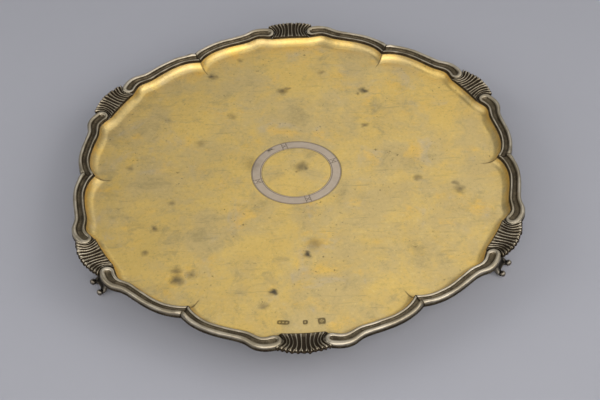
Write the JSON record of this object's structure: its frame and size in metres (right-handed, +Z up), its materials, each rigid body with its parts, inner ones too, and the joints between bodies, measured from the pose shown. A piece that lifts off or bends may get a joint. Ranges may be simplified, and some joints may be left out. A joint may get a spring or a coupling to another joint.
{
  "type": "footed salver",
  "caption": "Lobed silver-gilt salver: a shallow flat tray in a cast rim of scroll mouldings and fluted shells, on scroll feet.",
  "frame": {"origin": "on the table, under the middle of the tray", "axes": "+Z up; +Y towards the 12 o'clock shell, which stands over a foot; +X towards 3 o'clock"},
  "size_m": [0.2702, 0.2878, 0.0295],
  "materials": {
    "gilt_sheet": "worn, matt gilding on hammered silver, with grey wear and dark spots",
    "cast_silver": "worn silver with bright ridges and black tarnish in the hollows",
    "tarnished_silver": "dark tarnished silver, rubbed brighter on the edges"
  },
  "bodies": {
    "root": {"tray": "gilt_sheet", "moulding_12_left": "cast_silver", "moulding_12_right": "cast_silver", "moulding_2_left": "cast_silver", "moulding_2_right": "cast_silver", "moulding_4_left": "cast_silver", "moulding_4_right": "cast_silver", "moulding_6_left": "cast_silver", "moulding_6_right": "cast_silver", "moulding_8_left": "cast_silver", "moulding_8_right": "cast_silver", "moulding_10_left": "cast_silver", "moulding_10_right": "cast_silver", "shell_12": "cast_silver", "shell_2": "cast_silver", "shell_4": "cast_silver", "shell_6": "cast_silver", "shell_8": "cast_silver", "shell_10": "cast_silver", "foot_12": "tarnished_silver", "foot_4": "tarnished_silver", "foot_8": "tarnished_silver"}
  },
  "joints": []
}
